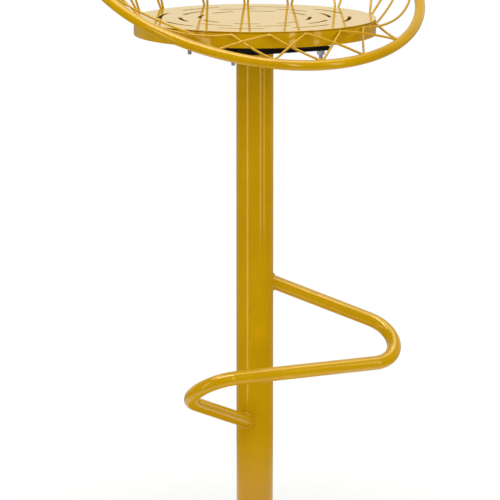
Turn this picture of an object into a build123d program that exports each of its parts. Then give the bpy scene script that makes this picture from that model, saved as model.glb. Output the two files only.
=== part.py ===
from build123d import *
from math import cos, radians, sin, sqrt
import os

# A swivel bar stool: a slotted round pan in a bowl of welded wire, on a column with a bent footrest.
# Millimetres, Z up. The origin is on the floor at the column's axis, and the sitter faces -Y.

# Pedestal
seat_height = 760.0
base_radius = 210.0
base_thickness = 10.0
base_bevel = 3.0
column_radius = 25.4
column_wall = 2.0

# Footrest: one bent bar, its front run level, one end welded high on the column and the other low
footrest_radius = 9.5
footrest_height = 298.0
footrest_reach = 153.0
footrest_half_width = 238.0
footrest_rise = 105.5
footrest_bend = 45.5

# Swivel: a spindle under the seat plate turns in a sleeve pressed into the column
spindle_radius = 12.5
spindle_clearance = 0.05
sleeve_length = 120.0
thrust_clearance = 0.1
collar_radius = 17.0
collar_thickness = 8.0
collar_play = 0.4

# Seat plate, and the hexagon standoffs that hang it under the pan
plate_drop = 36.0
plate_width = 158.0
plate_thickness = 4.5
plate_corner = 12.0
stud_inset = 12.5
stud_radius = 3.0
stud_tail = 14.0
stud_hole_clearance = 0.3
standoff_across_flats = 10.0

# Pan: a pressed sheet with a turned-down skirt and rings of slots
pan_radius = 165.0
pan_sheet = 2.0
pan_skirt = 22.0
pan_edge = 3.0
slot_width = 5.0
slot_span = 28.0
slot_count = 8
slot_turn = 9.5
slot_margin = 36.0
slot_pitch = 27.0
slot_rings = 3

# Hoop: the bowl's round rim, tilted up at the back
hoop_radius = 236.0
hoop_bar_radius = 7.0
hoop_tilt = 24.9
hoop_back_shift = 12.8
hoop_lift = 57.4

# Lattice: hairpins of wire, each welded at its bend to the skirt and at its two ends to the hoop
wire_radius = 1.6
weld_gap = 0.1
hairpin_half_width = 2.8
hairpin_corner = 1.8
foot_gap = 3.0
foot_depth = 5.0
foot_rise = 3.7
crossing_lift = 2.0
front_span = 60.0
front_turn = -2.0
foot_turn = -0.8
hairpin_drop = 4.5
deep_bow = 18.5
slight_bow = 4.5
back_bow = 7.5
bow_slope = 0.8
bow_runs = 3

# Round bar and wire are drawn with this many flat sides
hoop_side_count = 10
footrest_side_count = 12
wire_side_count = 6

# Each hairpin: its angle round the skirt from the front, then its two legs.
# A leg: its angle round the hoop, its bow's depth, and its lift where it crosses another leg.
over = crossing_lift
under = -crossing_lift
front_hairpin = (-1.0, (-16.5, 0.0, over), (16.5, 0.0, over))
back_hairpin = (177.0, (172.0, 0.0, 0.0), (183.0, 0.0, 0.0))
side_hairpins = [
    (18.5, (0.0, 0.0, under), (35.0, 0.0, over)),
    (36.0, (16.5, 0.0, under), (77.0, deep_bow, 0.0)),
    (55.0, (35.0, 0.0, under), (87.0, slight_bow, 0.0)),
    (81.0, (90.0, 0.0, 0.0), (105.5, 0.0, 0.0)),
    (110.0, (117.0, back_bow, 0.0), (127.0, 0.0, 0.0)),
    (136.0, (132.0, 0.0, 0.0), (146.0, 0.0, 0.0)),
    (157.0, (154.0, 0.0, 0.0), (163.0, 0.0, 0.0)),
]

# Levels and sizes that follow from the values above
column_bore = column_radius - column_wall
plate_top = seat_height - plate_drop
plate_bottom = plate_top - plate_thickness
column_top = plate_bottom - thrust_clearance
sleeve_bottom = column_top - sleeve_length
collar_top = sleeve_bottom - collar_play
sleeve_bore = spindle_radius + spindle_clearance
pan_underside = seat_height - pan_sheet
stud_spacing = plate_width - 2 * stud_inset
stud_hole_radius = stud_radius + stud_hole_clearance
skirt_seat = pan_radius + weld_gap + wire_radius
foot_back = sqrt(hoop_bar_radius**2 - foot_rise**2)

os.makedirs("parts", exist_ok=True)


def save(piece, name):
    """Labels a finished piece and writes it as its own file."""
    piece.part.label = name
    export_step(piece.part, f"parts/{name}.step")


# The pedestal, with the column welded upright on the base

with BuildPart() as base_plate:
    with BuildSketch():
        Circle(base_radius)
    extrude(amount=base_thickness)
    chamfer(base_plate.faces().sort_by(Axis.Z)[-1].edges(), base_bevel)
save(base_plate, "base_plate")

with BuildPart() as column_tube:
    with BuildSketch(Plane.XY.offset(base_thickness)):
        Circle(column_radius)
        Circle(column_bore, mode=Mode.SUBTRACT)
    extrude(amount=column_top - base_thickness)
save(column_tube, "column_tube")

# The footrest's two ends are coped to the column

with BuildPart() as footrest:
    with BuildLine() as footrest_path:
        FilletPolyline(
            (0, 0, footrest_height - footrest_rise),
            (-footrest_half_width, -footrest_reach, footrest_height),
            (footrest_half_width, -footrest_reach, footrest_height),
            (0, 0, footrest_height + footrest_rise),
            radius=footrest_bend,
        )
    with BuildSketch(Plane(footrest_path.line @ 0, z_dir=footrest_path.line % 0)):
        RegularPolygon(footrest_radius, footrest_side_count)
    sweep()
    with BuildSketch(Plane.XY.offset(base_thickness)):
        Circle(column_radius)
    extrude(amount=column_top - base_thickness, mode=Mode.SUBTRACT)
save(footrest, "footrest")

# The swivel

with BuildPart() as swivel_sleeve:
    with BuildSketch(Plane.XY.offset(column_top)):
        Circle(column_bore)
        Circle(sleeve_bore, mode=Mode.SUBTRACT)
    extrude(amount=-sleeve_length)
save(swivel_sleeve, "swivel_sleeve")

with BuildPart() as spindle:
    with BuildSketch(Plane.XY.offset(collar_top)):
        Circle(spindle_radius)
    extrude(amount=plate_top - collar_top)
    with BuildSketch(Plane.XY.offset(collar_top)):
        Circle(collar_radius)
    extrude(amount=-collar_thickness)
save(spindle, "spindle")

# The seat plate and what hangs it under the pan

with BuildPart() as seat_plate:
    with BuildSketch(Plane.XY.offset(plate_bottom)):
        RectangleRounded(plate_width, plate_width, plate_corner)
        Circle(spindle_radius, mode=Mode.SUBTRACT)
        with GridLocations(stud_spacing, stud_spacing, 2, 2):
            Circle(stud_hole_radius, mode=Mode.SUBTRACT)
    extrude(amount=plate_thickness)
save(seat_plate, "seat_plate")

with BuildPart() as pan_studs:
    with BuildSketch(Plane.XY.offset(plate_top)):
        with GridLocations(stud_spacing, stud_spacing, 2, 2):
            RegularPolygon(standoff_across_flats / 2, 6, major_radius=False)
    extrude(amount=pan_underside - plate_top)
    with BuildSketch(Plane.XY.offset(plate_top)):
        with GridLocations(stud_spacing, stud_spacing, 2, 2):
            Circle(stud_radius)
    extrude(amount=-plate_thickness - stud_tail)
save(pan_studs, "pan_studs")

# The pan is a cup, hollowed from below, then slotted ring by ring with the middle ring staggered


def slot_profile(radius):
    """One slot, curved along a ring of the given radius and centred on the X axis."""
    with BuildSketch() as slot:
        with BuildLine():
            inner = CenterArc((0, 0), radius - slot_width / 2, -slot_span / 2, slot_span)
            outer = CenterArc((0, 0), radius + slot_width / 2, -slot_span / 2, slot_span)
            Line(inner @ 0, outer @ 0)
            Line(inner @ 1, outer @ 1)
        make_face()
    return slot.sketch


with BuildPart() as seat_pan:
    with BuildSketch(Plane.XY.offset(seat_height)):
        Circle(pan_radius)
    extrude(amount=-pan_skirt)
    chamfer(seat_pan.faces().sort_by(Axis.Z)[-1].edges(), pan_edge)
    offset(amount=-pan_sheet, openings=seat_pan.faces().sort_by(Axis.Z)[0], kind=Kind.INTERSECTION)
    with BuildSketch(Plane.XY.offset(seat_height)):
        for ring in range(slot_rings):
            stagger = (ring % 2) * 180 / slot_count
            with PolarLocations(0, slot_count, start_angle=slot_turn + stagger - 90):
                add(slot_profile(pan_radius - slot_margin - ring * slot_pitch))
    extrude(amount=-pan_sheet, mode=Mode.SUBTRACT)
save(seat_pan, "seat_pan")

# The hoop and the lattice

hoop_plane = Plane(
    origin=(0, hoop_back_shift, seat_height + hoop_lift),
    x_dir=(1, 0, 0),
    z_dir=(0, -sin(radians(hoop_tilt)), cos(radians(hoop_tilt))),
)
with BuildPart() as hoop:
    with BuildSketch(Plane(hoop_plane.origin, x_dir=hoop_plane.x_dir, z_dir=-hoop_plane.y_dir)):
        with Locations((hoop_radius, 0)):
            RegularPolygon(hoop_bar_radius, hoop_side_count, major_radius=False)
    revolve(axis=Axis(hoop_plane.origin, hoop_plane.z_dir))
save(hoop, "hoop")


def round_direction(plane, angle):
    """Unit vectors at an angle round a plane from its front: straight out, and along the round."""
    turn = radians(angle)
    out = plane.x_dir * sin(turn) - plane.y_dir * cos(turn)
    along = plane.x_dir * cos(turn) + plane.y_dir * sin(turn)
    return out, along


def bow_points(start, end, depth):
    """Points of a leg that bows outwards and down by the given depth at its middle."""
    middle = (start + end) / 2
    outward = Vector(middle.X, middle.Y, 0).normalized() - Vector(0, 0, bow_slope)
    run = (end - start).normalized()
    across = (outward - run * outward.dot(run)).normalized()
    shares = [step / bow_runs for step in range(1, bow_runs)]
    return [start + (end - start) * share + across * 4 * depth * share * (1 - share) for share in shares]


def leg_points(skirt_angle, side, leg):
    """Corner points of one leg, from the middle of its hairpin's bend to a place inside the hoop's bar."""
    hoop_angle, depth, lift = leg
    skirt_turn = front_turn if abs(skirt_angle) < front_span else 0.0
    hoop_turn = foot_turn if lift else 0.0
    skirt_out, skirt_along = round_direction(Plane.XY, skirt_angle + skirt_turn)
    hoop_out, hoop_along = round_direction(hoop_plane, hoop_angle + hoop_turn)
    middle = skirt_out * skirt_seat + Vector(0, 0, seat_height - hairpin_drop)
    shoulder = middle + skirt_along * side * hairpin_half_width
    end = hoop_plane.origin + hoop_out * hoop_radius
    bow = bow_points(shoulder, end, depth) if depth else []
    if lift:
        lift_way = (end - shoulder).cross(hoop_along).normalized()
        inward = lift_way.cross(hoop_along)
        foot = end + inward * foot_back + lift_way * foot_rise - hoop_along * side * foot_gap
        crossing = (shoulder + foot) / 2 + lift_way * lift
        end = foot + (foot - crossing).normalized() * foot_depth
        bow = [crossing]
    first = bow[0] if bow else end
    bend_start = shoulder - skirt_along * side * hairpin_corner
    bend_end = shoulder + (first - shoulder).normalized() * hairpin_corner
    return [middle, bend_start, bend_end, *bow, end]


def mirrored(hairpin):
    """The same hairpin on the other side of the stool."""
    angle, first, second = hairpin
    return (-angle, (-second[0], *second[1:]), (-first[0], *first[1:]))


hairpins = [front_hairpin, *side_hairpins, back_hairpin, *map(mirrored, reversed(side_hairpins))]
for number, (skirt_angle, left_leg, right_leg) in enumerate(hairpins, start=1):
    for side, leg, hand in ((-1, left_leg, "left"), (1, right_leg, "right")):
        with BuildPart() as lattice_wire:
            with BuildLine() as wire_path:
                Polyline(*leg_points(skirt_angle, side, leg))
            with BuildSketch(Plane(wire_path.line @ 0, z_dir=wire_path.line % 0)):
                RegularPolygon(wire_radius, wire_side_count)
            sweep(transition=Transition.RIGHT)
            add(hoop.part, mode=Mode.SUBTRACT)
        save(lattice_wire, f"lattice_wire_{number:02d}_{hand}")
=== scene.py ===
# %% [markdown]
# # A gold bar stool with a bowl of wire
# A round base carries a column with a bent footrest. On the column a seat swivels: a slotted pan, and a
# low bowl of thin wire welded between the pan's skirt and a tilted hoop. The load-bearing shapes arrive
# as finished solids. This lesson gives each surface its finish and models again, as truly round bar,
# wire and weld, what shows most.

# %% Load the solids
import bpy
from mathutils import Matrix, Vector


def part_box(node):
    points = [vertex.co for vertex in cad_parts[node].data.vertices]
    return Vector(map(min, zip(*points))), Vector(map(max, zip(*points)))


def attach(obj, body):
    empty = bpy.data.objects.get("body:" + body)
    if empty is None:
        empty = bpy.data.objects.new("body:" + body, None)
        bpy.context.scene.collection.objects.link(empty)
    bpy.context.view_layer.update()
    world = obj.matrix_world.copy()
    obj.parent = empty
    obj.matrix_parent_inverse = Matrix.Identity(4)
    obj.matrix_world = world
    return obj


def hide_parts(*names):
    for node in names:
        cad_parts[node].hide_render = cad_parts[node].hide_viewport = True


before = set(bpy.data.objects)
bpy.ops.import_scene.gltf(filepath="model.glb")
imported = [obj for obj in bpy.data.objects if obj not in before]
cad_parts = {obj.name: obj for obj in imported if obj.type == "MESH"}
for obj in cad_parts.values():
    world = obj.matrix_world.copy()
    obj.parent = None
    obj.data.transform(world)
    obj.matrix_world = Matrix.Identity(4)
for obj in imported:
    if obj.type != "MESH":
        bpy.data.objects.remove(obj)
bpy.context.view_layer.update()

# %% [markdown]
# ## Tools used all through
# An operator works on whatever is selected, so each piece starts with nothing else selected. A piece
# keeps its object at the origin and its place in its mesh, as the solids do. That is why a new primitive
# has its place applied at once.

# %% Choose and start a piece
from math import asin, cos, pi, radians, sin, sqrt, tan

import bpy
from mathutils import Matrix, Vector

mm = 0.001


def choose(*pieces):
    """Selects these pieces alone and makes the first one active."""
    bpy.ops.object.select_all(action="DESELECT")
    for piece in pieces:
        piece.select_set(True)
    bpy.context.view_layer.objects.active = pieces[0]


def start_piece(add_primitive, name, **settings):
    """Adds one primitive and leaves its place in its mesh."""
    bpy.ops.object.select_all(action="DESELECT")
    add_primitive(**settings)
    bpy.ops.object.transform_apply(location=True, rotation=True, scale=True)
    piece = bpy.context.object
    piece.name = name
    return piece


print("tools to start a piece are ready")

# %% Work in edit mode
merge_distance = 0.001 * mm


def edit_all(piece):
    """Goes to edit mode with the whole piece selected."""
    choose(piece)
    bpy.ops.object.mode_set(mode="EDIT")
    bpy.ops.mesh.select_mode(type="FACE")
    bpy.ops.mesh.select_all(action="SELECT")


def edit_faces(piece, wanted):
    """Goes to edit mode with only the faces selected whose centre and normal pass a test."""
    edit_all(piece)
    bpy.ops.mesh.select_all(action="DESELECT")
    bpy.ops.object.mode_set(mode="OBJECT")
    for face in piece.data.polygons:
        face.select = wanted(face.center, face.normal)
    bpy.ops.object.mode_set(mode="EDIT")


def faces_up(centre, normal):
    """Whether a face looks upwards."""
    return normal.z > 0.9


def faces_down(centre, normal):
    """Whether a face looks downwards."""
    return normal.z < -0.9


def close_shape():
    """Merges what lies on itself, turns all faces outwards and goes back to object mode."""
    bpy.ops.mesh.select_all(action="SELECT")
    bpy.ops.mesh.remove_doubles(threshold=merge_distance)
    bpy.ops.mesh.normals_make_consistent(inside=False)
    bpy.ops.object.mode_set(mode="OBJECT")


print("tools for edit mode are ready")

# %% Copy and finish a piece
smooth_angle = radians(38)
soft_edge_angle = radians(50)


def apply_modifier(piece, kind, **settings):
    """Adds one modifier with its settings and applies it."""
    choose(piece)
    modifier = piece.modifiers.new(kind.lower(), kind)
    for name, value in settings.items():
        setattr(modifier, name, value)
    bpy.ops.object.modifier_apply(modifier=modifier.name)


def soften_edges(piece, width):
    """Bevels the sharp edges of a piece a little, as a tool or a coat of paint leaves them."""
    apply_modifier(
        piece, "BEVEL", width=width, segments=2, limit_method="ANGLE", angle_limit=soft_edge_angle
    )


def set_out(pattern, places):
    """Copies a pattern to each place, each copy with its own mesh, and joins them. The pattern goes."""
    name, made = pattern.name, []
    for place in places:
        copy = bpy.data.objects.new(name, pattern.data.copy())
        copy.data.transform(place)
        bpy.context.scene.collection.objects.link(copy)
        made.append(copy)
    bpy.data.objects.remove(pattern)
    choose(*made)
    bpy.ops.object.join()
    made[0].name = name
    return made[0]


def finish_piece(piece, body, slot, finish, *nodes):
    """Smooths a piece, gives it its finish and its body, and hides the solids that it stands for."""
    choose(piece)
    bpy.ops.object.shade_smooth_by_angle(angle=smooth_angle)
    apply_modifier(piece, "WEIGHTED_NORMAL", keep_sharp=True)
    piece.data.materials.clear()
    piece.data.materials.append(finish)
    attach(piece, body)
    if nodes:
        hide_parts(*nodes)
    print(piece.name, len(piece.data.polygons), "faces")


print("tools to finish a piece are ready")

# %% [markdown]
# ## Tools for finishes
# Every finish is built from nodes that read Object coordinates. These are metres here, so a pattern's
# scale is one over its real size in metres. Colours are written as sRGB hex values, as a picker shows
# them, and turned to the linear numbers that shaders use.

# %% Colours and nodes


def linear(hex_code):
    """An sRGB hex colour as linear red, green, blue and alpha."""
    parts = [int(hex_code[i:i + 2], 16) / 255 for i in (1, 3, 5)]
    return [p / 12.92 if p <= 0.04045 else ((p + 0.055) / 1.055) ** 2.4 for p in parts] + [1.0]


def add_node(tree, kind, values={}, links={}, **properties):
    """Adds one node, with its properties, its socket values and the sockets that feed it."""
    node = tree.nodes.new(kind)
    for name, value in properties.items():
        setattr(node, name, value)
    for socket, value in values.items():
        node.inputs[socket].default_value = value
    for socket, source in links.items():
        tree.links.new(source, node.inputs[socket])
    return node


def new_finish(name):
    """An empty finish: its material, its node tree, its main shader and the place on the piece."""
    material = bpy.data.materials.new(name)
    material.use_nodes = True
    tree = material.node_tree
    place = add_node(tree, "ShaderNodeTexCoord").outputs["Object"]
    return material, tree, tree.nodes["Principled BSDF"], place


print("gold as linear numbers:", [round(c, 3) for c in linear("#c79a05")])

# %% [markdown]
# ## Gold enamel
# All of the stool that shows, but for the seat plate and its fixings, is steel under a gold gloss
# enamel. The colour sits in the coat and a clear resin lies over it, so lamps reflect white and sharp,
# and seen almost flat, as on the pan's top, the coat mirrors the wires. A sprayed coat is never quite
# level or even: it has a faint orange peel and slow changes of colour and gloss. A little metallic
# stands for the bronze flake that makes such a paint gold and not plain yellow.

# %% Make the gold enamel
enamel_patch = 70 * mm
enamel_gloss_patch = 25 * mm
orange_peel = 6 * mm

gold_enamel, tree, shader, place = new_finish("gold_gloss_enamel")
patches = add_node(tree, "ShaderNodeTexNoise", {"Scale": 1 / enamel_patch, "Detail": 3}, {"Vector": place})
gold_range = add_node(tree, "ShaderNodeValToRGB", {}, {"Fac": patches.outputs["Fac"]})
gold_range.color_ramp.elements[0].position = 0.3
gold_range.color_ramp.elements[0].color = linear("#bd8e02")
gold_range.color_ramp.elements[1].position = 0.7
gold_range.color_ramp.elements[1].color = linear("#c79a05")
haze = add_node(
    tree, "ShaderNodeTexNoise", {"Scale": 1 / enamel_gloss_patch, "Detail": 4}, {"Vector": place}
)
gloss = add_node(
    tree, "ShaderNodeMapRange", {"To Min": 0.05, "To Max": 0.1}, {"Value": haze.outputs["Fac"]}
)
peel = add_node(tree, "ShaderNodeTexNoise", {"Scale": 1 / orange_peel, "Detail": 1}, {"Vector": place})
relief = add_node(
    tree, "ShaderNodeBump", {"Strength": 0.01, "Distance": 0.1 * mm}, {"Height": peel.outputs["Fac"]}
)
tree.links.new(gold_range.outputs["Color"], shader.inputs["Base Color"])
tree.links.new(gloss.outputs["Result"], shader.inputs["Roughness"])
tree.links.new(relief.outputs["Normal"], shader.inputs["Normal"])
shader.inputs["Metallic"].default_value = 0.08
print(gold_enamel.name)

# %% [markdown]
# ## Black powder coat
# The square plate under the pan and its standoffs are black. Powder coat melts into a fine pebble that
# breaks up reflections, so it is a dark, half-gloss plastic film over the steel. The pebble is drawn
# coarser than it is, so that it shows.

# %% Make the black powder coat
powder_pebble = 1.2 * mm
powder_patch = 30 * mm

black_powder, tree, shader, place = new_finish("black_powder_coat")
patches = add_node(tree, "ShaderNodeTexNoise", {"Scale": 1 / powder_patch, "Detail": 4}, {"Vector": place})
black_range = add_node(tree, "ShaderNodeValToRGB", {}, {"Fac": patches.outputs["Fac"]})
black_range.color_ramp.elements[0].color = linear("#090503")
black_range.color_ramp.elements[1].color = linear("#120b07")
gloss = add_node(
    tree, "ShaderNodeMapRange", {"To Min": 0.45, "To Max": 0.6}, {"Value": patches.outputs["Fac"]}
)
pebble = add_node(tree, "ShaderNodeTexNoise", {"Scale": 1 / powder_pebble, "Detail": 2}, {"Vector": place})
relief = add_node(
    tree, "ShaderNodeBump", {"Strength": 0.25, "Distance": 0.1 * mm}, {"Height": pebble.outputs["Fac"]}
)
tree.links.new(black_range.outputs["Color"], shader.inputs["Base Color"])
tree.links.new(gloss.outputs["Result"], shader.inputs["Roughness"])
tree.links.new(relief.outputs["Normal"], shader.inputs["Normal"])
shader.inputs["Specular IOR Level"].default_value = 0.25
print(black_powder.name)

# %% [markdown]
# ## Zinc plate
# The studs' tails, nuts and washers are zinc-plated steel: a bluish grey metal, dulled by the bright
# dip, with small crystals that catch the light a little differently from one to the next. Real ones are
# too fine to see, so these are drawn as coarse as they need to show.

# %% Make the zinc plate
zinc_crystal = 2.5 * mm

zinc_plate, tree, shader, place = new_finish("zinc_plated_steel")
crystals = add_node(tree, "ShaderNodeTexVoronoi", {"Scale": 1 / zinc_crystal}, {"Vector": place})
zinc_range = add_node(tree, "ShaderNodeValToRGB", {}, {"Fac": crystals.outputs["Distance"]})
zinc_range.color_ramp.elements[0].color = linear("#d3d6d8")
zinc_range.color_ramp.elements[1].color = linear("#bcc0c4")
gloss = add_node(
    tree, "ShaderNodeMapRange", {"To Min": 0.3, "To Max": 0.5}, {"Value": crystals.outputs["Distance"]}
)
tree.links.new(zinc_range.outputs["Color"], shader.inputs["Base Color"])
tree.links.new(gloss.outputs["Result"], shader.inputs["Roughness"])
shader.inputs["Metallic"].default_value = 0.6
print(zinc_plate.name)

# %% [markdown]
# ## Turned steel and acetal
# The swivel is out of sight inside the column, but it is still finished. The spindle is bare steel with
# the fine rings of a lathe tool, drawn wider apart than they are so that they show. The sleeve it turns
# in is black acetal, a slippery plastic with a soft moulded sheen.

# %% Make the turned steel
tool_pitch = 0.8 * mm
wave_length_at_scale_one = pi / 10

turned_steel, tree, shader, place = new_finish("turned_steel")
rings = add_node(
    tree, "ShaderNodeTexWave", {"Scale": wave_length_at_scale_one / tool_pitch, "Distortion": 0.4},
    {"Vector": place}, wave_type="BANDS", bands_direction="Z",
)
steel_range = add_node(tree, "ShaderNodeValToRGB", {}, {"Fac": rings.outputs["Fac"]})
steel_range.color_ramp.elements[0].color = linear("#a4a5a8")
steel_range.color_ramp.elements[1].color = linear("#b8b9bb")
relief = add_node(
    tree, "ShaderNodeBump", {"Strength": 0.2, "Distance": 0.05 * mm}, {"Height": rings.outputs["Fac"]}
)
tree.links.new(steel_range.outputs["Color"], shader.inputs["Base Color"])
tree.links.new(relief.outputs["Normal"], shader.inputs["Normal"])
shader.inputs["Metallic"].default_value = 1.0
shader.inputs["Roughness"].default_value = 0.3
print(turned_steel.name)

# %% Make the black acetal
mould_grain = 1.5 * mm

black_acetal, tree, shader, place = new_finish("black_acetal")
grain = add_node(tree, "ShaderNodeTexNoise", {"Scale": 1 / mould_grain, "Detail": 2}, {"Vector": place})
acetal_range = add_node(tree, "ShaderNodeValToRGB", {}, {"Fac": grain.outputs["Fac"]})
acetal_range.color_ramp.elements[0].color = linear("#16171a")
acetal_range.color_ramp.elements[1].color = linear("#222326")
gloss = add_node(
    tree, "ShaderNodeMapRange", {"To Min": 0.4, "To Max": 0.55}, {"Value": grain.outputs["Fac"]}
)
tree.links.new(acetal_range.outputs["Color"], shader.inputs["Base Color"])
tree.links.new(gloss.outputs["Result"], shader.inputs["Roughness"])
print(black_acetal.name)

# %% Put the finishes on the solids
solid_finishes = {
    "seat_plate": black_powder,
    "pan_studs": zinc_plate,
    "spindle": turned_steel,
    "swivel_sleeve": black_acetal,
}
for name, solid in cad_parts.items():
    solid.data.materials.clear()
    solid.data.materials.append(solid_finishes.get(name, gold_enamel))
print("finished", len(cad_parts), "solids")

# %% [markdown]
# ## The hoop
# The bowl's rim is one round bar rolled into a ring and tilted up at the back. A ring is a circle
# carried round an axis, so the bar's section is drawn once where the ring passes the right-hand side,
# and spun through a full turn.

# %% Spin the hoop
seat_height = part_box("seat_pan")[1].z
hoop_radius = 236 * mm
hoop_bar_radius = 7 * mm
hoop_bar_sides = 24
hoop_steps = 168
hoop_tilt = radians(24.9)
hoop_setback = 12.8 * mm
hoop_rise = 57.4 * mm
hoop_centre = Vector((0, hoop_setback, seat_height + hoop_rise))
hoop_right = Vector((1, 0, 0))
hoop_back = Vector((0, cos(hoop_tilt), sin(hoop_tilt)))
hoop_up = hoop_right.cross(hoop_back)

rim_hoop = start_piece(
    bpy.ops.mesh.primitive_circle_add, "rim_hoop", vertices=hoop_bar_sides, radius=hoop_bar_radius,
    location=hoop_centre + hoop_right * hoop_radius, rotation=hoop_back.to_track_quat("Z", "Y").to_euler(),
)
edit_all(rim_hoop)
bpy.ops.mesh.select_mode(type="VERT")
bpy.ops.mesh.select_all(action="SELECT")
bpy.ops.mesh.spin(steps=hoop_steps, angle=2 * pi, center=hoop_centre, axis=hoop_up)
close_shape()
finish_piece(rim_hoop, "seat", "gold_paint", gold_enamel, "hoop")

# %% [markdown]
# ## The footrest
# One round bar, bent twice. It leaves the column low on one side, runs out to a level front run and
# comes back to the column higher up on the other side. A bender works the same way as edit mode does
# here: push the bar's end straight on, then swing it round the centre of the bend.

# %% Lay out the footrest
column_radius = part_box("column_tube")[1].x
footrest_radius = 9.5 * mm
footrest_bend = 45.5 * mm
footrest_half_width = 238 * mm
footrest_reach = 153 * mm
footrest_level = 298 * mm
footrest_low = 192.5 * mm
footrest_high = 403.5 * mm
footrest_route = [
    Vector((0, 0, footrest_low)),
    Vector((-footrest_half_width, -footrest_reach, footrest_level)),
    Vector((footrest_half_width, -footrest_reach, footrest_level)),
    Vector((0, 0, footrest_high)),
]
footrest_runs = [(after - before).normalized() for before, after in zip(footrest_route, footrest_route[1:])]
tube_depth = 6 * mm
low_end = footrest_route[0] + footrest_runs[0] * (column_radius - tube_depth)
high_end = footrest_route[-1] - footrest_runs[-1] * (column_radius - tube_depth)
print("footrest from", [round(c, 3) for c in low_end], "to", [round(c, 3) for c in high_end])

# %% Bend the footrest
footrest_sides = 40
footrest_bend_steps = 20

footrest_bar = start_piece(
    bpy.ops.mesh.primitive_circle_add, "footrest_bar", vertices=footrest_sides, radius=footrest_radius,
    fill_type="NGON", location=low_end, rotation=footrest_runs[0].to_track_quat("Z", "Y").to_euler(),
)
edit_all(footrest_bar)
bar_end = low_end
for corner, run_in, run_out in zip(footrest_route[1:-1], footrest_runs, footrest_runs[1:]):
    turn = run_in.angle(run_out)
    tangent = footrest_bend * tan(turn / 2)
    bend_start = corner - run_in * tangent
    inward = (run_out - run_in * run_in.dot(run_out)).normalized()
    bpy.ops.mesh.extrude_region_move(TRANSFORM_OT_translate={"value": bend_start - bar_end})
    bpy.ops.mesh.spin(
        steps=footrest_bend_steps, angle=-turn, center=bend_start + inward * footrest_bend,
        axis=run_in.cross(run_out).normalized(),
    )
    bar_end = corner + run_out * tangent
bpy.ops.mesh.extrude_region_move(TRANSFORM_OT_translate={"value": high_end - bar_end})
close_shape()
finish_piece(footrest_bar, "stand", "gold_paint", gold_enamel, "footrest")

# %% [markdown]
# ## The lattice of hairpins
# Sixteen hairpins of thin wire make the bowl. Each is one unbroken wire: it is welded to the skirt by
# the tight bend in its middle, and its two legs reach out to the hoop. At the front the legs cross, one
# bent over the other, and land side by side on the hoop. Towards the back a few bow outwards. A bevelled
# curve is the natural tool for wire, and turning it into a mesh afterwards makes it an ordinary piece.

# %% Draw a wire
wire_roundness = 4


def draw_wire(name, points, radius, swell=None):
    """A round wire through points, as a mesh. With a swell at each point it is a closed bead instead."""
    bpy.ops.object.select_all(action="DESELECT")
    bpy.ops.curve.primitive_bezier_curve_add(location=(0, 0, 0))
    wire = bpy.context.object
    wire.name = name
    wire.data.splines.clear()
    wire.data.dimensions = "3D"
    line = wire.data.splines.new("POLY")
    line.points.add(len(points) - 1)
    for number, point in enumerate(points):
        line.points[number].co = (*point, 1)
        line.points[number].radius = swell[number] if swell else 1
    line.use_cyclic_u = bool(swell)
    wire.data.bevel_depth = radius
    wire.data.bevel_resolution = wire_roundness
    wire.data.use_fill_caps = not swell
    bpy.ops.object.convert(target="MESH")
    return bpy.context.object


print("wire tool ready")

# %% Lay out the hairpins
over, under = 2 * mm, -2 * mm
deep_bow, slight_bow, back_bow = 18.5 * mm, 4.5 * mm, 7.5 * mm

# Each hairpin: degrees round the skirt from the front, then its two legs. A leg: degrees round the hoop,
# its bow's depth, and its lift where it crosses another leg.
front_hairpin = (-1, (-16.5, 0, over), (16.5, 0, over))
back_hairpin = (177, (172, 0, 0), (183, 0, 0))
side_hairpins = [
    (18.5, (0, 0, under), (35, 0, over)),
    (36, (16.5, 0, under), (77, deep_bow, 0)),
    (55, (35, 0, under), (87, slight_bow, 0)),
    (81, (90, 0, 0), (105.5, 0, 0)),
    (110, (117, back_bow, 0), (127, 0, 0)),
    (136, (132, 0, 0), (146, 0, 0)),
    (157, (154, 0, 0), (163, 0, 0)),
]


def mirrored(hairpin):
    """The same hairpin on the other side of the stool."""
    angle, first, second = hairpin
    return (-angle, (-second[0], *second[1:]), (-first[0], *first[1:]))


hairpins = [front_hairpin, *side_hairpins, back_hairpin, *map(mirrored, reversed(side_hairpins))]
print(len(hairpins), "hairpins")

# %% Place a hairpin on the skirt
wire_radius = 1.6 * mm
skirt_clearance = 0.1 * mm
skirt_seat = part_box("seat_pan")[1].x + skirt_clearance + wire_radius
hairpin_drop = 4.5 * mm
front_span, front_turn = 60, -2


def round_direction(right, back, degrees):
    """Unit vectors at an angle round a ring from its front: straight out, and along the ring."""
    turn = radians(degrees)
    return right * sin(turn) - back * cos(turn), right * cos(turn) + back * sin(turn)


def place_hairpin(skirt_angle):
    """The middle of a hairpin's bend on the skirt, and the directions out and along the skirt there."""
    turn = front_turn if abs(skirt_angle) < front_span else 0
    out, along = round_direction(Vector((1, 0, 0)), Vector((0, 1, 0)), skirt_angle + turn)
    return out * skirt_seat + Vector((0, 0, seat_height - hairpin_drop)), out, along


print("wires run", round(skirt_seat, 4), "m from the axis on the skirt")

# %% Bend the hairpins
hairpin_half_width = 1.8 * mm
hairpin_corner = 1.7 * mm
foot_turn = -0.8
foot_gap = 3 * mm
foot_depth = 5 * mm
foot_rise = 3.7 * mm
foot_back = sqrt(hoop_bar_radius ** 2 - foot_rise ** 2)
bow_slope = 0.8
bow_runs = 16
bend_runs = 6


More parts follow.
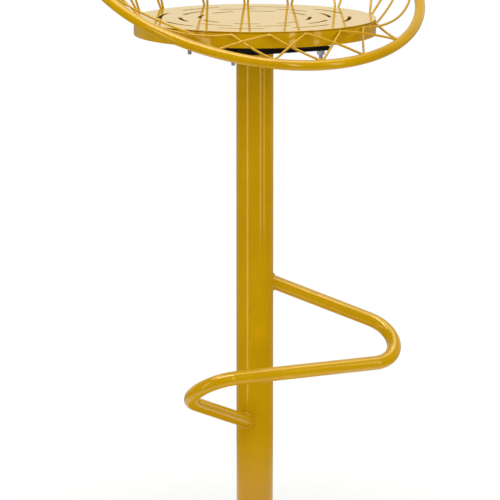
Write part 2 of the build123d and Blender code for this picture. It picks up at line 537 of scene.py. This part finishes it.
def leg_line(skirt_angle, side, leg):
    """Points of one leg from the middle of its bend to inside the hoop, and its foot on the hoop."""
    hoop_angle, depth, lift = leg
    middle, skirt_out, skirt_along = place_hairpin(skirt_angle)
    hoop_out, hoop_along = round_direction(hoop_right, hoop_back, hoop_angle + (foot_turn if lift else 0))
    shoulder = middle + skirt_along * side * hairpin_half_width
    end = hoop_centre + hoop_out * hoop_radius
    lift_way = (end - shoulder).cross(hoop_along).normalized()
    inward = lift_way.cross(hoop_along)
    if lift:
        foot = end + inward * foot_back + lift_way * foot_rise - hoop_along * side * foot_gap
        across, depth = lift_way, lift
    else:
        run = (end - shoulder).normalized()
        foot = end + run * hoop_bar_radius / run.dot(inward)
        halfway = (shoulder + end) / 2
        outward = Vector((halfway.x, halfway.y, 0)).normalized() - Vector((0, 0, bow_slope))
        across = (outward - run * outward.dot(run)).normalized()
    shares = [step / bow_runs for step in range(1, bow_runs + 1)]
    reach = [shoulder.lerp(foot, share) + across * 4 * depth * share * (1 - share) for share in shares]
    tip = foot + (foot - reach[-2]).normalized() * foot_depth
    bend_start = shoulder - skirt_along * side * hairpin_corner
    bend_end = shoulder + (reach[0] - shoulder).normalized() * hairpin_corner
    steps = [step / bend_runs for step in range(bend_runs + 1)]
    bend = [bend_start.lerp(shoulder, s).lerp(shoulder.lerp(bend_end, s), s) for s in steps]
    return [middle, *bend, *reach, tip], foot


for number, (skirt_angle, left_leg, right_leg) in enumerate(hairpins, start=1):
    left_line, _ = leg_line(skirt_angle, -1, left_leg)
    right_line, _ = leg_line(skirt_angle, 1, right_leg)
    hairpin = draw_wire(f"hairpin_{number:02d}", [*reversed(left_line), *right_line[1:]], wire_radius)
    nodes = [f"lattice_wire_{number:02d}_{hand}" for hand in ("left", "right")]
    finish_piece(hairpin, "seat", "gold_paint", gold_enamel, *nodes)

# %% [markdown]
# ## The pan
# The pan is made of sheet: a round top with three rings of curved slots, and a skirt all round. The
# photograph has a thin dark line where the two meet. A cylinder's top edge is rounded with bevel, its
# underside is taken away and Solidify gives the sheet its thickness inwards. The line is a narrow
# groove, sunk into the skirt with inset. One slot punch is drawn for each ring, set out round it and cut
# away.
#
# Through the slots the photograph shows dark. That is painted shade: the inside of the pan and the lower
# part of the slots' walls are painted a dark brown where shade falls.

# %% Press the pan
pan_low, pan_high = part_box("seat_pan")
pan_radius = pan_high.x
pan_sheet = 2 * mm
pan_sides = 144
pan_edge = 0.6 * mm
round_edge_steps = 5

pan_shell = start_piece(
    bpy.ops.mesh.primitive_cylinder_add, "pan_shell", vertices=pan_sides, radius=pan_radius,
    depth=pan_high.z - pan_low.z, location=(0, 0, (pan_high.z + pan_low.z) / 2),
)
edit_faces(pan_shell, faces_down)
bpy.ops.mesh.delete(type="ONLY_FACE")
bpy.ops.object.mode_set(mode="OBJECT")
edit_faces(pan_shell, faces_up)
bpy.ops.mesh.bevel(offset=pan_edge, segments=round_edge_steps, affect="EDGES")
bpy.ops.object.mode_set(mode="OBJECT")
apply_modifier(pan_shell, "SOLIDIFY", thickness=pan_sheet, offset=-1, use_even_offset=True)
print("pan sheet", len(pan_shell.data.polygons), "faces")

# %% Sink the joint line
joint_top = pan_high.z - 0.95 * mm
joint_height = 1.4 * mm
joint_depth = 1.4 * mm


def on_skirt(centre, normal):
    """Whether a face is on the outside of the skirt."""
    return abs(normal.z) < 0.1 and centre.xy.length > pan_radius - pan_sheet / 2


def in_joint(centre, normal):
    """Whether a face is on the outside of the skirt, where the joint line runs."""
    return on_skirt(centre, normal) and 0 < joint_top - centre.z < joint_height


for level in (joint_top, joint_top - joint_height):
    edit_faces(pan_shell, on_skirt)
    bpy.ops.mesh.bisect(plane_co=(0, 0, level), plane_no=(0, 0, 1))
    bpy.ops.object.mode_set(mode="OBJECT")
edit_faces(pan_shell, in_joint)
bpy.ops.mesh.inset(thickness=0, depth=-joint_depth)
bpy.ops.object.mode_set(mode="OBJECT")
print("with the joint line", len(pan_shell.data.polygons), "faces")

# %% Paint shade inside the pan
# Painted shade: the pan's inside and the lower slot walls turn dark brown, and only the outer skin of the
# skirt keeps the gold.
painted_shade_inset = 0.8 * pan_sheet

pan_enamel_with_painted_shade = gold_enamel.copy()
pan_enamel_with_painted_shade.name = "gold_enamel_with_painted_shade"
tree = pan_enamel_with_painted_shade.node_tree
place = tree.nodes["Texture Coordinate"].outputs["Object"]
height = add_node(tree, "ShaderNodeSeparateXYZ", {}, {0: place})
flat = add_node(tree, "ShaderNodeVectorMath", {1: (1, 1, 0)}, {0: place}, operation="MULTIPLY")
reach = add_node(tree, "ShaderNodeVectorMath", {}, {0: flat.outputs["Vector"]}, operation="LENGTH")
inside_pan = add_node(
    tree, "ShaderNodeMath", {1: pan_radius - painted_shade_inset}, {0: reach.outputs["Value"]},
    operation="LESS_THAN",
)
# How much painted shade: none on the top face, full one sheet's depth below it, and only inside the skirt's
# outer skin.
painted_shade_amount = add_node(
    tree, "ShaderNodeMapRange",
    {"From Min": pan_high.z, "From Max": pan_high.z - pan_sheet, "To Min": 0.0},
    {"Value": height.outputs["Z"], "To Max": inside_pan.outputs["Value"]},
)
# A colour mix has its factor at socket 0, its colours at 6 and 7, and its result at output 2.
# The dark brown #5c450c is painted shade, mixed into the gold where shade falls inside the pan.
coat = add_node(
    tree, "ShaderNodeMix", {7: linear("#5c450c")},
    {0: painted_shade_amount.outputs["Result"], 6: tree.nodes["Color Ramp"].outputs["Color"]}, data_type="RGBA",
)
tree.links.new(coat.outputs[2], tree.nodes["Principled BSDF"].inputs["Base Color"])
print(pan_enamel_with_painted_shade.name)

# %% Draw a slot
slot_width = 5 * mm
slot_span = radians(28)
slot_arc_points = 14
slot_end_points = 8


def slot_outline(radius):
    """Points of one slot with round ends, along a ring and centred on the X axis."""
    half = slot_width / 2
    reach = slot_span / 2 - asin(half / radius)
    turns = [reach * (2 * k / slot_arc_points - 1) for k in range(slot_arc_points + 1)]
    ends = [pi * k / slot_end_points for k in range(1, slot_end_points)]
    outer = [Vector((cos(t), sin(t), 0)) * (radius + half) for t in turns]
    inner = [Vector((cos(t), sin(t), 0)) * (radius - half) for t in reversed(turns)]
    far, near = (Matrix.Rotation(t, 3, "Z") for t in (reach, -reach))
    middle = Vector((radius, 0, 0))
    far_end = [far @ (middle + Vector((cos(t), sin(t), 0)) * half) for t in ends]
    near_end = [near @ (middle + Vector((-cos(t), -sin(t), 0)) * half) for t in ends]
    return [*outer, *far_end, *inner, *near_end]


print("slots", slot_width / mm, "mm wide")

# %% Punch the slots
slot_count = 8
slot_turn = radians(9.5)
slot_margin = 36 * mm
slot_ring_step = 27 * mm
slot_rings = [pan_radius - slot_margin - ring * slot_ring_step for ring in range(3)]
punch_reach = 3 * pan_sheet
slot_edge = 0.2 * mm

punches = []
for ring, radius in enumerate(slot_rings):
    outline = slot_outline(radius)
    punch = start_piece(
        bpy.ops.mesh.primitive_circle_add, f"slot_punch_{ring}", vertices=len(outline), radius=radius,
        fill_type="NGON",
    )
    for vertex, point in zip(punch.data.vertices, outline):
        vertex.co = point + Vector((0, 0, seat_height - punch_reach))
    edit_all(punch)
    bpy.ops.mesh.extrude_region_move(TRANSFORM_OT_translate={"value": (0, 0, 2 * punch_reach)})
    close_shape()
    stagger = (ring % 2) * pi / slot_count
    turns = [slot_turn + stagger - pi / 2 + 2 * pi * k / slot_count for k in range(slot_count)]
    punches.append(set_out(punch, [Matrix.Rotation(turn, 4, "Z") for turn in turns]))
choose(*punches)
bpy.ops.object.join()
apply_modifier(pan_shell, "BOOLEAN", operation="DIFFERENCE", object=punches[0], solver="EXACT")
bpy.data.objects.remove(punches[0])
soften_edges(pan_shell, slot_edge)
finish_piece(pan_shell, "seat", "gold_paint", pan_enamel_with_painted_shade, "seat_pan")

# %% [markdown]
# ## The base
# The base is a heavy disc, turned with a rounded upper edge. A cylinder with a bevelled top edge is all
# it needs.

# %% Turn the base
base_low, base_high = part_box("base_plate")
base_radius = min(base_high.x, -base_low.y)
base_sides = 160
base_edge = 3 * mm
base_foot_edge = 0.5 * mm

base_disc = start_piece(
    bpy.ops.mesh.primitive_cylinder_add, "base_disc", vertices=base_sides, radius=base_radius,
    depth=base_high.z, location=(0, 0, base_high.z / 2),
)
edit_faces(base_disc, faces_up)
bpy.ops.mesh.bevel(offset=base_edge, segments=round_edge_steps, affect="EDGES")
bpy.ops.object.mode_set(mode="OBJECT")
soften_edges(base_disc, base_foot_edge)
finish_piece(base_disc, "stand", "gold_paint", gold_enamel, "base_plate")

# %% [markdown]
# ## The seat plate
# The plate is sawn or laser-cut, and coating softens its edges. Its solid already has the right outline
# and holes, so a copy of it is merged into one skin, its flat faces are made whole and its edges are
# bevelled.

# %% Soften the seat plate
plate_edge = 0.6 * mm
plate_merge_distance = 0.01 * mm
flat_angle = radians(1)

plate_shell = bpy.data.objects.new("plate_shell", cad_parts["seat_plate"].data.copy())
bpy.context.scene.collection.objects.link(plate_shell)
edit_all(plate_shell)
bpy.ops.mesh.customdata_custom_splitnormals_clear()
bpy.ops.mesh.remove_doubles(threshold=plate_merge_distance)
bpy.ops.mesh.dissolve_limited(angle_limit=flat_angle)
bpy.ops.object.mode_set(mode="OBJECT")
soften_edges(plate_shell, plate_edge)
finish_piece(plate_shell, "seat", "plate_paint", black_powder, "seat_plate")

# %% [markdown]
# ## Standoffs, nuts and washers
# Four hexagon standoffs, coated black with the plate, hang it under the pan. Each has a bare threaded
# tail that passes through the plate to a washer and a nut. The thread is a thin triangle that the Screw
# modifier carries round and up, one pitch each turn. One set is modelled on the axis and copied to the
# four corners.

# %% Make one standoff
plate_low, plate_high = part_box("seat_plate")
stud_low, stud_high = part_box("pan_studs")
stud_place = 66.5 * mm
standoff_flats = 10 * mm
standoff_corner = standoff_flats / 2 / cos(pi / 6)
standoff_edge = 0.5 * mm
corners = [Matrix.Translation((x * stud_place, y * stud_place, 0)) for x in (-1, 1) for y in (-1, 1)]

standoff = start_piece(
    bpy.ops.mesh.primitive_cylinder_add, "standoffs", vertices=6, radius=standoff_corner,
    depth=stud_high.z - plate_high.z, location=(0, 0, (stud_high.z + plate_high.z) / 2),
    rotation=(0, 0, pi / 6),
)
soften_edges(standoff, standoff_edge)
finish_piece(set_out(standoff, corners), "seat", "plate_paint", black_powder, "pan_studs")

# %% Cut the threaded tails
thread_pitch = 1 * mm
thread_core = 2.45 * mm
thread_crest = 3 * mm
thread_turns = 15
thread_steps = 24
thread_half_height = 0.45 * thread_pitch
thread_root = 0.05 * mm
tail_sides = 32
tail_edge = 0.6 * mm
tail_lead = 0.8 * mm

tail = start_piece(
    bpy.ops.mesh.primitive_cylinder_add, "stud_tails", vertices=tail_sides, radius=thread_core,
    depth=plate_high.z - stud_low.z, location=(0, 0, (plate_high.z + stud_low.z) / 2),
)
soften_edges(tail, tail_edge)
thread = start_piece(bpy.ops.mesh.primitive_circle_add, "stud_thread", vertices=3, radius=thread_crest)
thread_start = stud_low.z + tail_lead
thread_section = [(thread_core, -thread_half_height), (thread_core, thread_half_height), (thread_crest, 0)]
for vertex, (radius, rise) in zip(thread.data.vertices, thread_section):
    vertex.co = (radius - thread_root, 0, thread_start + rise)
apply_modifier(
    thread, "SCREW", axis="Z", screw_offset=thread_pitch, iterations=thread_turns, steps=thread_steps,
    render_steps=thread_steps,
)
edit_all(thread)
bpy.ops.mesh.fill_holes(sides=3)
close_shape()
choose(tail, thread)
bpy.ops.object.join()
finish_piece(set_out(tail, corners), "seat", "zinc", zinc_plate)

# %% Make the washers
washer_radius = 6.2 * mm
washer_thickness = 1.4 * mm
washer_sides = 40
hardware_edge = 0.3 * mm

washer = start_piece(
    bpy.ops.mesh.primitive_cylinder_add, "washers", vertices=washer_sides, radius=washer_radius,
    depth=washer_thickness, location=(0, 0, plate_low.z - washer_thickness / 2),
)
soften_edges(washer, hardware_edge)
finish_piece(set_out(washer, corners), "seat", "zinc", zinc_plate)

# %% Make the nuts
nut_height = 5 * mm
nut_top = plate_low.z - washer_thickness
nut_turn = 0.7
nut_rim, nut_crown = 1.4 * mm, 0.4 * mm
nut_chamfer, nut_chamfer_depth = 0.8 * mm, 0.8 * mm

nut = start_piece(
    bpy.ops.mesh.primitive_cylinder_add, "nuts", vertices=6, radius=standoff_corner, depth=nut_height,
    location=(0, 0, nut_top - nut_height / 2), rotation=(0, 0, nut_turn),
)
edit_faces(nut, faces_down)
bpy.ops.mesh.inset(thickness=nut_rim)
bpy.ops.transform.translate(value=(0, 0, -nut_crown))
bpy.ops.mesh.inset(thickness=nut_chamfer)
bpy.ops.transform.translate(value=(0, 0, nut_chamfer_depth))
bpy.ops.object.mode_set(mode="OBJECT")
soften_edges(nut, hardware_edge)
finish_piece(set_out(nut, corners), "seat", "zinc", zinc_plate)

# %% [markdown]
# ## Welds
# The steel is welded before it is coated, so the beads are gold too. Around the footrest's ends and the
# column's foot a bead follows the line where two surfaces meet, with the small ripples that a torch
# leaves. At the wires a weld is only a small bead, modelled once for the skirt and once for the hoop,
# and turned to each place.

# %% Run the footrest's weld beads
bead_points = 72
bead_ripple = 0.12
footrest_ripples = 18
footrest_bead_radius = 2.2 * mm
ripples = [1 + bead_ripple * sin(2 * pi * footrest_ripples * k / bead_points) for k in range(bead_points)]


def saddle_line(start, run):
    """Points where a bar from the column's axis comes out through the column."""
    side = run.cross(Vector((0, 0, 1))).normalized()
    above = side.cross(run)
    points = []
    for k in range(bead_points):
        turn = 2 * pi * k / bead_points
        off = (side * cos(turn) + above * sin(turn)) * footrest_radius
        a = run.x ** 2 + run.y ** 2
        b = off.x * run.x + off.y * run.y
        c = off.x ** 2 + off.y ** 2 - column_radius ** 2
        points.append(start + off + run * ((sqrt(b * b - a * c) - b) / a))
    return points


for name, start, run in (
    ("footrest_weld_low", footrest_route[0], footrest_runs[0]),
    ("footrest_weld_high", footrest_route[-1], -footrest_runs[-1]),
):
    weld = draw_wire(name, saddle_line(start, run), footrest_bead_radius, ripples)
    finish_piece(weld, "stand", "gold_paint", gold_enamel)

# %% Run the bead at the column's foot
foot_bead_radius = 3 * mm
foot_points = 144
foot_ripple_count = 48
foot_turns = [2 * pi * k / foot_points for k in range(foot_points)]
foot_line = [Vector((cos(t) * column_radius, sin(t) * column_radius, base_high.z)) for t in foot_turns]
foot_ripples = [1 + bead_ripple * sin(foot_ripple_count * t) for t in foot_turns]
foot_weld = draw_wire("column_weld", foot_line, foot_bead_radius, foot_ripples)
finish_piece(foot_weld, "stand", "gold_paint", gold_enamel)

# %% Find the places of the wire welds
skirt_places = []
hoop_places = []
for skirt_angle, left_leg, right_leg in hairpins:
    middle, skirt_out, skirt_along = place_hairpin(skirt_angle)
    turned = Matrix((skirt_along, Vector((0, 0, 1)), skirt_out)).transposed().to_4x4()
    skirt_places.append(Matrix.Translation(middle + skirt_out * (pan_radius - skirt_seat)) @ turned)
    for side, leg in ((-1, left_leg), (1, right_leg)):
        line, foot = leg_line(skirt_angle, side, leg)
        run = line[-1] - line[-2]
        hoop_places.append(Matrix.Translation(foot) @ run.to_track_quat("X", "Z").to_matrix().to_4x4())
print(len(skirt_places), "welds on the skirt,", len(hoop_places), "on the hoop")

# %% Dab the wire welds
wire_bead_radius = 2.3 * mm


def dab_pattern(name, long, high):
    """A small weld bead: a ball drawn out to an oval, with its skin relaxed once."""
    dab = start_piece(
        bpy.ops.mesh.primitive_uv_sphere_add, name, segments=16, ring_count=10, radius=wire_bead_radius,
        scale=(long, 1, high),
    )
    apply_modifier(dab, "SMOOTH", factor=0.5, iterations=1)
    return dab


skirt_welds = set_out(dab_pattern("skirt_welds", 1.5, 0.55), skirt_places)
finish_piece(skirt_welds, "seat", "gold_paint", gold_enamel)
hoop_welds = set_out(dab_pattern("hoop_welds", 1.3, 0.95), hoop_places)
finish_piece(hoop_welds, "seat", "gold_paint", gold_enamel)

# %% [markdown]
# ## Floor and background
# The photograph has a plain white ground. The floor is a disc of white paper that takes the stool's
# shadow and fades out to nothing towards its rim, where the white surround shows through, so no horizon
# is seen.

# %% Lay the floor
floor_radius = 0.8
fade_start = 0.25

floor = start_piece(
    bpy.ops.mesh.primitive_circle_add, "floor", vertices=96, radius=floor_radius, fill_type="NGON"
)
white_floor, tree, shader, place = new_finish("white_paper_floor")
tree.nodes.remove(shader)
distance = add_node(tree, "ShaderNodeVectorMath", {}, {0: place}, operation="LENGTH")
fade = add_node(
    tree, "ShaderNodeMapRange", {"From Min": fade_start, "From Max": floor_radius},
    {"Value": distance.outputs["Value"]}, interpolation_type="SMOOTHSTEP",
)
paper = add_node(tree, "ShaderNodeBsdfDiffuse", {"Color": linear("#fbfbf9")})
clear = add_node(tree, "ShaderNodeBsdfTransparent")
mixed = add_node(
    tree, "ShaderNodeMixShader", {},
    {0: fade.outputs["Result"], 1: paper.outputs["BSDF"], 2: clear.outputs["BSDF"]},
)
tree.links.new(mixed.outputs["Shader"], tree.nodes["Material Output"].inputs["Surface"])
floor.data.materials.append(white_floor)
print("floor radius", floor_radius)

# %% [markdown]
# ## Light
# The surround is a white tent, seen as plain white by the camera. Reflections see a studio instead. It
# is warm white behind the stool, and dim low down and on the camera's side, which keeps the enamel's
# colour deep. Its bright ceiling draws the light band along the top of every bar. Three tall narrow soft
# boxes, one left of the camera and two right of it, draw the thin bright lines down the column. They
# reach below the floor's level, because the camera looks down on the column and what it mirrors lies
# lower still. One more box overhead gives the shadow.

# %% Shape the room that reflections see
camera_side = Vector((-0.455, -0.89, 0))
far_side, near_side = -0.8, -0.1
near_brightness = 0.04
horizon = 0.1
low_brightness = 0.3
ceiling_edge, ceiling_full = 0.8, 0.9
ceiling_brightness = 3.4

world = bpy.data.worlds.new("studio_surround")
bpy.context.scene.world = world
world.use_nodes = True
tree = world.node_tree
tree.nodes.clear()
direction = add_node(tree, "ShaderNodeTexCoord").outputs["Generated"]
facing = add_node(tree, "ShaderNodeVectorMath", {1: camera_side}, {0: direction}, operation="DOT_PRODUCT")
dimming = add_node(
    tree, "ShaderNodeMapRange",
    {"From Min": far_side, "From Max": near_side, "To Min": 1.0, "To Max": near_brightness},
    {"Value": facing.outputs["Value"]},
)
height = add_node(tree, "ShaderNodeSeparateXYZ", {}, {0: direction})
rising = add_node(
    tree, "ShaderNodeMapRange",
    {"From Min": -horizon, "From Max": horizon, "To Min": low_brightness, "To Max": 1.0},
    {"Value": height.outputs["Z"]},
)
room = add_node(
    tree, "ShaderNodeMath", {}, {0: dimming.outputs["Result"], 1: rising.outputs["Result"]},
    operation="MULTIPLY",
)
ceiling = add_node(
    tree, "ShaderNodeMapRange",
    {"From Min": ceiling_edge, "From Max": ceiling_full, "To Min": 0.0, "To Max": ceiling_brightness},
    {"Value": height.outputs["Z"]},
)
studio = add_node(
    tree, "ShaderNodeMath", {}, {0: room.outputs["Value"], 1: ceiling.outputs["Result"]}, operation="ADD"
)
mirrored_room = add_node(
    tree, "ShaderNodeBackground", {"Color": linear("#fffae2")}, {"Strength": studio.outputs["Value"]}
)
print("reflections see", len(tree.nodes), "nodes of", world.name)

# %% Make the surround
glow_strength = 0.95

rays = add_node(tree, "ShaderNodeLightPath")
glow = add_node(tree, "ShaderNodeBackground", {"Color": linear("#ffffff"), "Strength": glow_strength})
white = add_node(tree, "ShaderNodeBackground", {"Color": linear("#ffffff"), "Strength": 1})
seen = add_node(
    tree, "ShaderNodeMath", {}, {0: rays.outputs["Is Camera Ray"], 1: rays.outputs["Is Transmission Ray"]},
    operation="MAXIMUM",
)
lit = add_node(
    tree, "ShaderNodeMixShader", {}, {
        0: rays.outputs["Is Glossy Ray"],
        1: glow.outputs["Background"],
        2: mirrored_room.outputs["Background"],
    },
)
shown = add_node(
    tree, "ShaderNodeMixShader", {},
    {0: seen.outputs["Value"], 1: lit.outputs["Shader"], 2: white.outputs["Background"]},
)
add_node(tree, "ShaderNodeOutputWorld", {}, {"Surface": shown.outputs["Shader"]})
print(world.name)

# %% Hang the soft boxes
look_at = Vector((0, 0, 0.55))


def soft_box(name, place, width, height, power):
    """One rectangular lamp that faces the stool and isn't seen by the camera."""
    lamp = bpy.data.lights.new(name, "AREA")
    lamp.shape = "RECTANGLE"
    lamp.size = width
    lamp.size_y = height
    lamp.energy = power
    box = bpy.data.objects.new(name, lamp)
    box.location = place
    box.rotation_euler = (look_at - Vector(place)).to_track_quat("-Z", "Y").to_euler()
    box.visible_camera = False
    bpy.context.scene.collection.objects.link(box)
    print(name, lamp.energy, "W")


soft_box("strip_left", (-2.87, -0.86, 0.8), width=0.5, height=2.6, power=8)
soft_box("strip_right", (0.39, -2.97, 1.0), width=0.3, height=2.2, power=5)
soft_box("strip_far_right", (1.63, -2.52, 1.0), width=0.4, height=2.2, power=4)
soft_box("overhead", (-0.37, -0.73, 2.8), width=1.8, height=0.6, power=18)

# %% [markdown]
# ## Camera
# The camera stands at the photograph's viewpoint, a little above the seat and to the left of the stool's
# front. Its place and lens come from fitting the column, the pan, the hoop and the footrest to their
# places in the picture.

# %% Set the camera
camera = bpy.data.objects.new("camera", bpy.data.cameras.new("camera"))
camera.location = (-2.2363, -4.3744, 1.3318)
camera.rotation_euler = (radians(79.69), 0, radians(-27))
camera.data.lens = 261.05
camera.data.sensor_width = 36
bpy.context.scene.collection.objects.link(camera)
bpy.context.scene.camera = camera
bpy.context.scene.view_settings.view_transform = "Standard"
print("camera", [round(c, 3) for c in camera.location])
